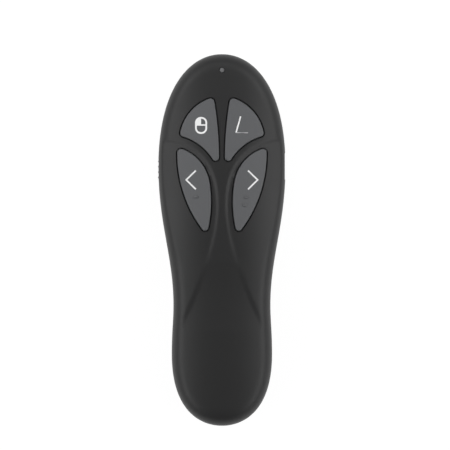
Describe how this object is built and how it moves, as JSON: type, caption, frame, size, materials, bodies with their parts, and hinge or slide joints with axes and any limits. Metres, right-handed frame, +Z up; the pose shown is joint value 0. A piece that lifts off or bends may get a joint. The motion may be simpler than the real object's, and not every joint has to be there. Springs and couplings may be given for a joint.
{
  "type": "wireless presentation clicker",
  "caption": "Handheld wireless presenter with crowned waisted case, thumb keys, laser key and power slide at the sides, sliding battery door and stowed receiver.",
  "frame": {"origin": "under the middle of the case, on the surface the case rests on", "axes": "+X to the right seen from above, +Y towards the nose, +Z up towards the keys"},
  "size_m": [0.0445, 0.13, 0.024],
  "materials": {
    "body_black": "soft-touch lacquer",
    "key_grey": "matte silicone",
    "side_black": "matte ribbed rubber",
    "board_green": "solder mask",
    "switch_black": "moulded",
    "plunger_grey": "moulded",
    "chip_black": "moulded epoxy",
    "tin_steel": "tinned",
    "ceramic_white": "ceramic",
    "light_clear": "frosted",
    "brass": "turned",
    "lens_clear": "polished",
    "window_dark": "tinted polished",
    "cell_jacket": "printed sleeve",
    "spring_steel": "nickel plated",
    "receiver_black": "fine spark texture",
    "plug_steel": "nickel plated",
    "screw_black": "black oxide"
  },
  "bodies": {
    "root": {"top_cover": "body_black", "bottom_cover": "body_black", "main_board": "board_green", "switch_page_forward": "switch_black", "switch_page_back": "switch_black", "switch_pointer": "switch_black", "switch_mouse": "switch_black", "side_switch": "switch_black", "slide_switch": "tin_steel", "radio_chip": "chip_black", "crystal": "tin_steel", "aerial": "ceramic_white", "signal_led": "ceramic_white", "light_pipe": "light_clear", "laser_barrel": "brass", "laser_diode": "tin_steel", "laser_lens": "lens_clear", "laser_window": "window_dark", "cell_left": "cell_jacket", "cell_right": "cell_jacket", "plate_positive": "spring_steel", "plate_negative": "spring_steel", "plate_bridge": "spring_steel", "spring_front": "spring_steel", "spring_tail": "spring_steel", "receiver_head": "receiver_black", "receiver_plug": "plug_steel", "receiver_tongue": "ceramic_white", "case_screws": "screw_black", "board_screws": "tin_steel"},
    "door": {"battery_door": "body_black"},
    "page_forward_key": {"key_page_forward": "key_grey", "plunger_page_forward": "plunger_grey"},
    "page_back_key": {"key_page_back": "key_grey", "plunger_page_back": "plunger_grey"},
    "pointer_key": {"key_pointer": "key_grey", "plunger_pointer": "plunger_grey"},
    "mouse_key": {"key_mouse": "key_grey", "plunger_mouse": "plunger_grey"},
    "laser_key": {"side_key": "side_black", "side_plunger": "plunger_grey"},
    "power_knob": {"power_slide": "side_black", "slide_actuator": "plunger_grey"}
  },
  "joints": [
    {"name": "door_slide", "type": "slide", "parent": "root", "child": "door", "axis": [0, -1, 0], "range_m": [0, 0.006]},
    {"name": "page_forward_press", "type": "slide", "parent": "root", "child": "page_forward_key", "axis": [0, 0, -1], "range_m": [0, 0.0005], "stiffness_N_per_m": 2000},
    {"name": "page_back_press", "type": "slide", "parent": "root", "child": "page_back_key", "axis": [0, 0, -1], "range_m": [0, 0.0005], "stiffness_N_per_m": 2000},
    {"name": "pointer_press", "type": "slide", "parent": "root", "child": "pointer_key", "axis": [0, 0, -1], "range_m": [0, 0.0005], "stiffness_N_per_m": 2000},
    {"name": "mouse_press", "type": "slide", "parent": "root", "child": "mouse_key", "axis": [0, 0, -1], "range_m": [0, 0.0005], "stiffness_N_per_m": 2000},
    {"name": "laser_press", "type": "slide", "parent": "root", "child": "laser_key", "axis": [1, 0, 0], "range_m": [0, 0.0005], "stiffness_N_per_m": 2000},
    {"name": "power_switch_slide", "type": "slide", "parent": "root", "child": "power_knob", "axis": [0, -1, 0], "range_m": [0, 0.002]}
  ]
}
